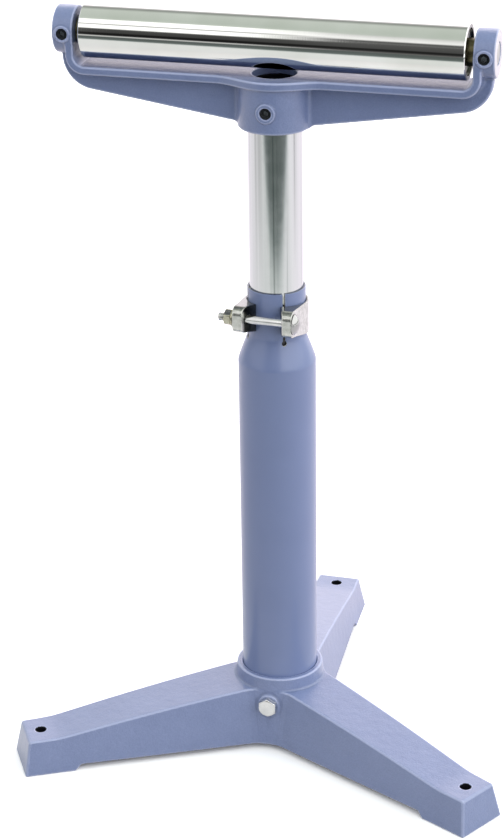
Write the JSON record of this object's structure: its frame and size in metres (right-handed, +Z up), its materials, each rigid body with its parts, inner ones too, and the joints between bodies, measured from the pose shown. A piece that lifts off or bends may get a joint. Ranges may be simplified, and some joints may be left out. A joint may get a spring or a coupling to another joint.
{
  "type": "roller stand",
  "caption": "Free-standing roller stand: cast tripod base, outer tube with a clamped sliding mast, and a cast yoke that holds a free-running steel roller.",
  "frame": {"origin": "on the floor, at the middle of the base's footprint; the mast's axis is at x = 0, y = -0.0556 m", "axes": "+X along the roller to its right end as seen from the front, +Y along the single rear leg, +Z up"},
  "size_m": [0.4892, 0.4248, 0.7384],
  "materials": {
    "cast_enamel": "blue-grey gloss enamel over a slightly rough casting",
    "tube_enamel": "smooth blue-grey gloss enamel",
    "roller_chrome": "polished bright roller",
    "mast_steel": "bright drawn tube",
    "turned_steel": "turned",
    "bearing_steel": "polished",
    "zinc_plate": "bright zinc plate",
    "black_oxide": "black oxide",
    "sleeve_steel": "oiled, dull olive",
    "nylon": "natural nylon"
  },
  "bodies": {
    "stand": {"base_casting": "cast_enamel", "base_bolt": "zinc_plate", "outer_tube": "tube_enamel", "clamp_band": "zinc_plate", "clamp_bolt": "zinc_plate"},
    "guide": {"guide_bush": "nylon"},
    "head": {"mast": "mast_steel", "retaining_ring": "black_oxide", "yoke_casting": "cast_enamel", "hub_set_screw": "black_oxide", "roller_shaft": "turned_steel", "left_shaft_set_screw": "black_oxide", "right_shaft_set_screw": "black_oxide", "left_bearing_inner_ring": "turned_steel", "right_bearing_inner_ring": "turned_steel", "left_spacer": "sleeve_steel", "right_spacer": "sleeve_steel"},
    "roller": {"roller_tube": "roller_chrome", "left_bearing_outer_ring": "turned_steel", "left_bearing_outer_shield": "turned_steel", "left_bearing_inner_shield": "turned_steel", "right_bearing_outer_ring": "turned_steel", "right_bearing_outer_shield": "turned_steel", "right_bearing_inner_shield": "turned_steel"},
    "left_cage": {"left_bearing_balls": "bearing_steel"},
    "right_cage": {"right_bearing_balls": "bearing_steel"},
    "washer": {"clamp_washer": "zinc_plate"},
    "nut": {"clamp_nut": "zinc_plate"}
  },
  "joints": [
    {"name": "mast_height", "type": "slide", "parent": "stand", "child": "guide", "axis": [0, 0, 1], "range_m": [-0.154, 0.2145]},
    {"name": "mast_swivel", "type": "hinge", "parent": "guide", "child": "head", "pos_m": [0, -0.05562, 0.4], "axis": [0, 0, 1], "continuous": true},
    {"name": "roller_spin", "type": "hinge", "parent": "head", "child": "roller", "pos_m": [0, -0.05562, 0.713], "axis": [1, 0, 0], "continuous": true},
    {"name": "left_cage_spin", "type": "hinge", "parent": "head", "child": "left_cage", "pos_m": [-0.169, -0.05562, 0.713], "axis": [1, 0, 0], "continuous": true},
    {"name": "right_cage_spin", "type": "hinge", "parent": "head", "child": "right_cage", "pos_m": [0.169, -0.05562, 0.713], "axis": [1, 0, 0], "continuous": true},
    {"name": "washer_slide", "type": "slide", "parent": "stand", "child": "washer", "axis": [-0.9979, 0.0645, 0], "range_m": [0, 0.0025]},
    {"name": "nut_turn", "type": "hinge", "parent": "washer", "child": "nut", "pos_m": [-0.00236, -0.0921, 0.4556], "axis": [-0.9979, 0.0645, 0], "range_deg": [0, 720]}
  ],
  "couplings": [
    {"joint": "left_cage_spin", "follows": "roller_spin", "ratio": 0.60224},
    {"joint": "right_cage_spin", "follows": "roller_spin", "ratio": 0.60224},
    {"joint": "washer_slide", "follows": "nut_turn", "m_per_rad": 0.00019894}
  ]
}
